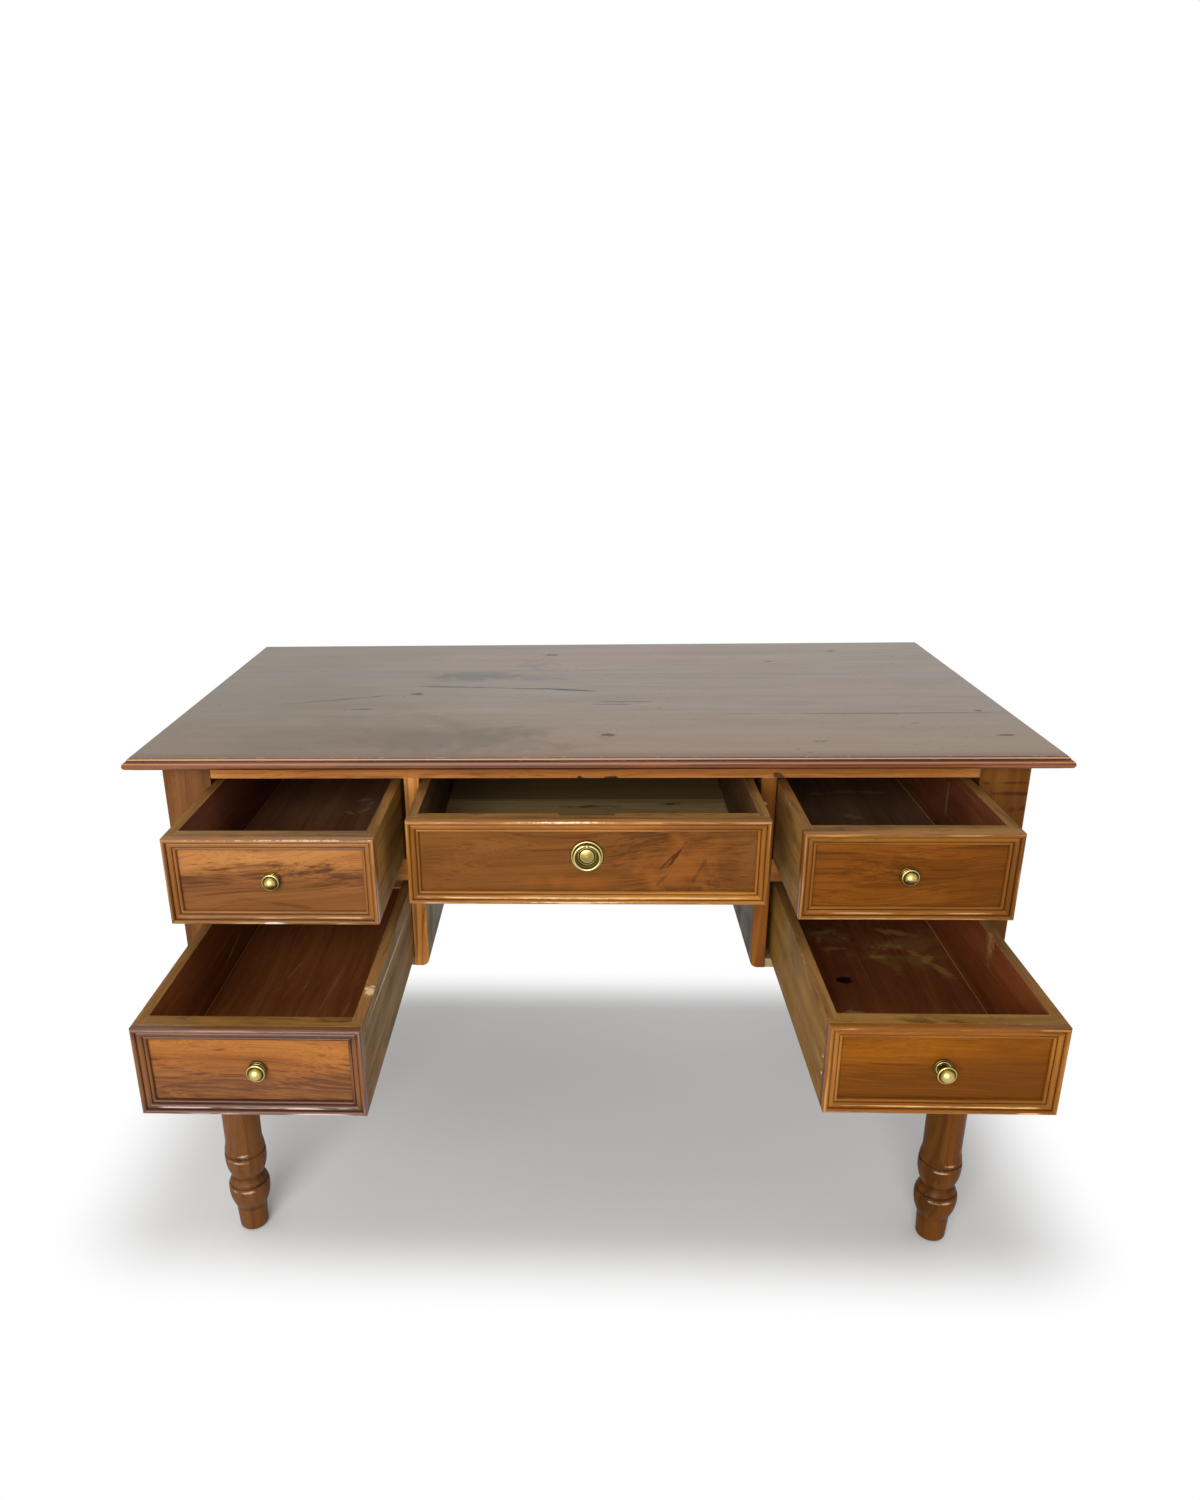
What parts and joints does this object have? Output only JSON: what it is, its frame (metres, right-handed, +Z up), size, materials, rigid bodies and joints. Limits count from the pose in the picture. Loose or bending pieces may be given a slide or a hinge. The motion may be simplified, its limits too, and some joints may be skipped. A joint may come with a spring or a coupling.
{
  "type": "writing desk",
  "caption": "Pedestal writing desk with a moulded plank top, turned legs, a kneehole and sliding drawers that have brass knobs and a brass ring pull.",
  "frame": {"origin": "on the floor, in the middle of the box that the desk fills with its drawers open at rest", "axes": "+X to the sitter's right along the desk, +Y from the sitter to the back, +Z up"},
  "size_m": [1.18, 0.9866, 0.786],
  "materials": {
    "top_walnut": "satin varnish, greyed brown",
    "frame_walnut": "glossy red-brown varnish",
    "drawer_front_walnut": "glossy varnish over figured walnut",
    "moulding_walnut": "glossy varnish, pale on worn edges",
    "drawer_side_wood": "raw, dull and dirty",
    "drawer_bottom_wood": "dark stain with worn patches",
    "runner_wood": "raw",
    "back_board_wood": "raw",
    "brass": "aged, polished by use"
  },
  "bodies": {
    "carcass": {"top_board_front": "top_walnut", "top_board_middle": "top_walnut", "top_board_back": "top_walnut", "front_left_leg": "frame_walnut", "front_right_leg": "frame_walnut", "rear_left_leg": "frame_walnut", "rear_right_leg": "frame_walnut", "front_rail": "frame_walnut", "left_end_panel": "frame_walnut", "left_partition": "frame_walnut", "left_middle_rail": "frame_walnut", "left_upper_runners": "runner_wood", "left_lower_runners": "runner_wood", "right_end_panel": "frame_walnut", "right_partition": "frame_walnut", "right_middle_rail": "frame_walnut", "right_upper_runners": "runner_wood", "right_lower_runners": "runner_wood", "centre_runners": "runner_wood", "back_board_upper": "back_board_wood", "back_board_lower": "back_board_wood", "glue_blocks": "runner_wood"},
    "upper_left_drawer": {"upper_left_drawer_front": "drawer_front_walnut", "upper_left_drawer_moulding": "moulding_walnut", "upper_left_drawer_side_left": "drawer_side_wood", "upper_left_drawer_side_right": "drawer_side_wood", "upper_left_drawer_back": "drawer_side_wood", "upper_left_drawer_bottom": "drawer_bottom_wood", "upper_left_drawer_knob": "brass"},
    "lower_left_drawer": {"lower_left_drawer_front": "drawer_front_walnut", "lower_left_drawer_moulding": "moulding_walnut", "lower_left_drawer_side_left": "drawer_side_wood", "lower_left_drawer_side_right": "drawer_side_wood", "lower_left_drawer_back": "drawer_side_wood", "lower_left_drawer_bottom": "drawer_bottom_wood", "lower_left_drawer_knob": "brass"},
    "upper_right_drawer": {"upper_right_drawer_front": "drawer_front_walnut", "upper_right_drawer_moulding": "moulding_walnut", "upper_right_drawer_side_left": "drawer_side_wood", "upper_right_drawer_side_right": "drawer_side_wood", "upper_right_drawer_back": "drawer_side_wood", "upper_right_drawer_bottom": "drawer_bottom_wood", "upper_right_drawer_knob": "brass"},
    "lower_right_drawer": {"lower_right_drawer_front": "drawer_front_walnut", "lower_right_drawer_moulding": "moulding_walnut", "lower_right_drawer_side_left": "drawer_side_wood", "lower_right_drawer_side_right": "drawer_side_wood", "lower_right_drawer_back": "drawer_side_wood", "lower_right_drawer_bottom": "drawer_bottom_wood", "lower_right_drawer_knob": "brass"},
    "centre_drawer": {"centre_drawer_front": "drawer_front_walnut", "centre_drawer_moulding": "moulding_walnut", "centre_drawer_side_left": "drawer_side_wood", "centre_drawer_side_right": "drawer_side_wood", "centre_drawer_back": "drawer_side_wood", "centre_drawer_bottom": "drawer_bottom_wood", "pull_rosette": "brass", "pull_post": "brass"},
    "pull_ring": {"pull_ring": "brass"}
  },
  "joints": [
    {"name": "upper_left_drawer_slide", "type": "slide", "parent": "carcass", "child": "upper_left_drawer", "axis": [0, -1, 0], "range_m": [-0.192, 0.228]},
    {"name": "lower_left_drawer_slide", "type": "slide", "parent": "carcass", "child": "lower_left_drawer", "axis": [0, -1, 0], "range_m": [-0.352, 0.068]},
    {"name": "upper_right_drawer_slide", "type": "slide", "parent": "carcass", "child": "upper_right_drawer", "axis": [0, -1, 0], "range_m": [-0.174, 0.246]},
    {"name": "lower_right_drawer_slide", "type": "slide", "parent": "carcass", "child": "lower_right_drawer", "axis": [0, -1, 0], "range_m": [-0.336, 0.084]},
    {"name": "centre_drawer_slide", "type": "slide", "parent": "carcass", "child": "centre_drawer", "axis": [0, -1, 0], "range_m": [-0.136, 0.284]},
    {"name": "pull_ring_swing", "type": "hinge", "parent": "centre_drawer", "child": "pull_ring", "pos_m": [-0.0034, -0.26785, 0.7096], "axis": [-1, 0, 0], "range_deg": [0, 90]}
  ]
}
